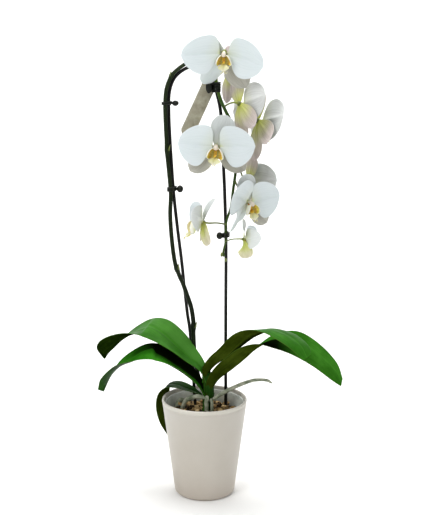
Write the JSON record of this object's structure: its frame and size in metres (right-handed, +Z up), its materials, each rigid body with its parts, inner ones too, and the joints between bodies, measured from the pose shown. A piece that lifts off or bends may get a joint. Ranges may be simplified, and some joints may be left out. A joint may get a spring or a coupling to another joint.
{
  "type": "potted orchid",
  "caption": "Moth orchid in a round tapered pot, its arching flower spike clipped to a tall wire hoop, for setting on a table or sill.",
  "frame": {"origin": "centre of the cover pot's flat base, on the surface it stands on", "axes": "+Z up through the pot's axis, +X the plant's right as seen from the front, -Y the front"},
  "size_m": [0.3712, 0.2005, 0.6781],
  "materials": {
    "pot_plastic": "satin warm light grey moulded plastic, paler on the rounded rim",
    "liner_plastic": "thin glossy grey translucent plastic",
    "bark": "loose brown and orange bark chips, rough and dry",
    "leaf": "thick smooth bright green leaf with a soft gloss, fine lengthwise veins and a creased midrib",
    "stem": "smooth dark green stem with pale nodes and fine speckles",
    "root": "grey-green velvety aerial root",
    "hoop": "black plastic sleeve over wire, slight sheen",
    "clip": "black-green sprung plastic clip",
    "tag": "bare grey-beige plant label, slightly translucent",
    "petal": "soft white petal with a faint crease, pinkish beige on the back and yellow-green at its base",
    "lip": "waxy yellow lip with orange-brown centre, red stripes and a pale rim",
    "bud": "small green unopened bud"
  },
  "bodies": {
    "root": {"cover_pot": "pot_plastic", "grow_pot": "liner_plastic", "hoop_stake": "hoop", "plant_crown": "stem", "flower_spike": "stem", "root_aerial_right": "root", "root_left_arch": "root", "root_left_back": "root", "root_front": "root", "root_front_right": "root", "bark_medium": "bark", "leaf_upper_left": "leaf", "leaf_lower_left": "leaf", "leaf_upper_right": "leaf", "leaf_right": "leaf", "leaf_back_left": "leaf", "clip_top": "clip", "clip_upper_left": "clip", "clip_lower_left": "clip", "clip_lower_right": "clip", "plant_tag": "tag", "tip_bud_1": "bud", "tip_bud_2": "bud", "flower_1_sepals": "petal", "flower_1_petal_left": "petal", "flower_1_petal_right": "petal", "flower_1_lip": "lip", "flower_2_sepals": "petal", "flower_2_petal_left": "petal", "flower_2_petal_right": "petal", "flower_2_lip": "lip", "flower_3_sepals": "petal", "flower_3_petal_left": "petal", "flower_3_petal_right": "petal", "flower_3_lip": "lip", "flower_4_sepals": "petal", "flower_4_petal_left": "petal", "flower_4_petal_right": "petal", "flower_4_lip": "lip", "flower_5_sepals": "petal", "flower_5_petal_left": "petal", "flower_5_petal_right": "petal", "flower_5_lip": "lip", "flower_6_sepals": "petal", "flower_6_petal_left": "petal", "flower_6_petal_right": "petal", "flower_6_lip": "lip", "flower_7_sepals": "petal", "flower_7_petal_left": "petal", "flower_7_petal_right": "petal", "flower_7_lip": "lip", "flower_8_sepals": "petal", "flower_8_petal_left": "petal", "flower_8_petal_right": "petal", "flower_8_lip": "lip", "flower_9_sepals": "petal", "flower_9_petal_left": "petal", "flower_9_petal_right": "petal", "flower_9_lip": "lip"}
  },
  "joints": []
}
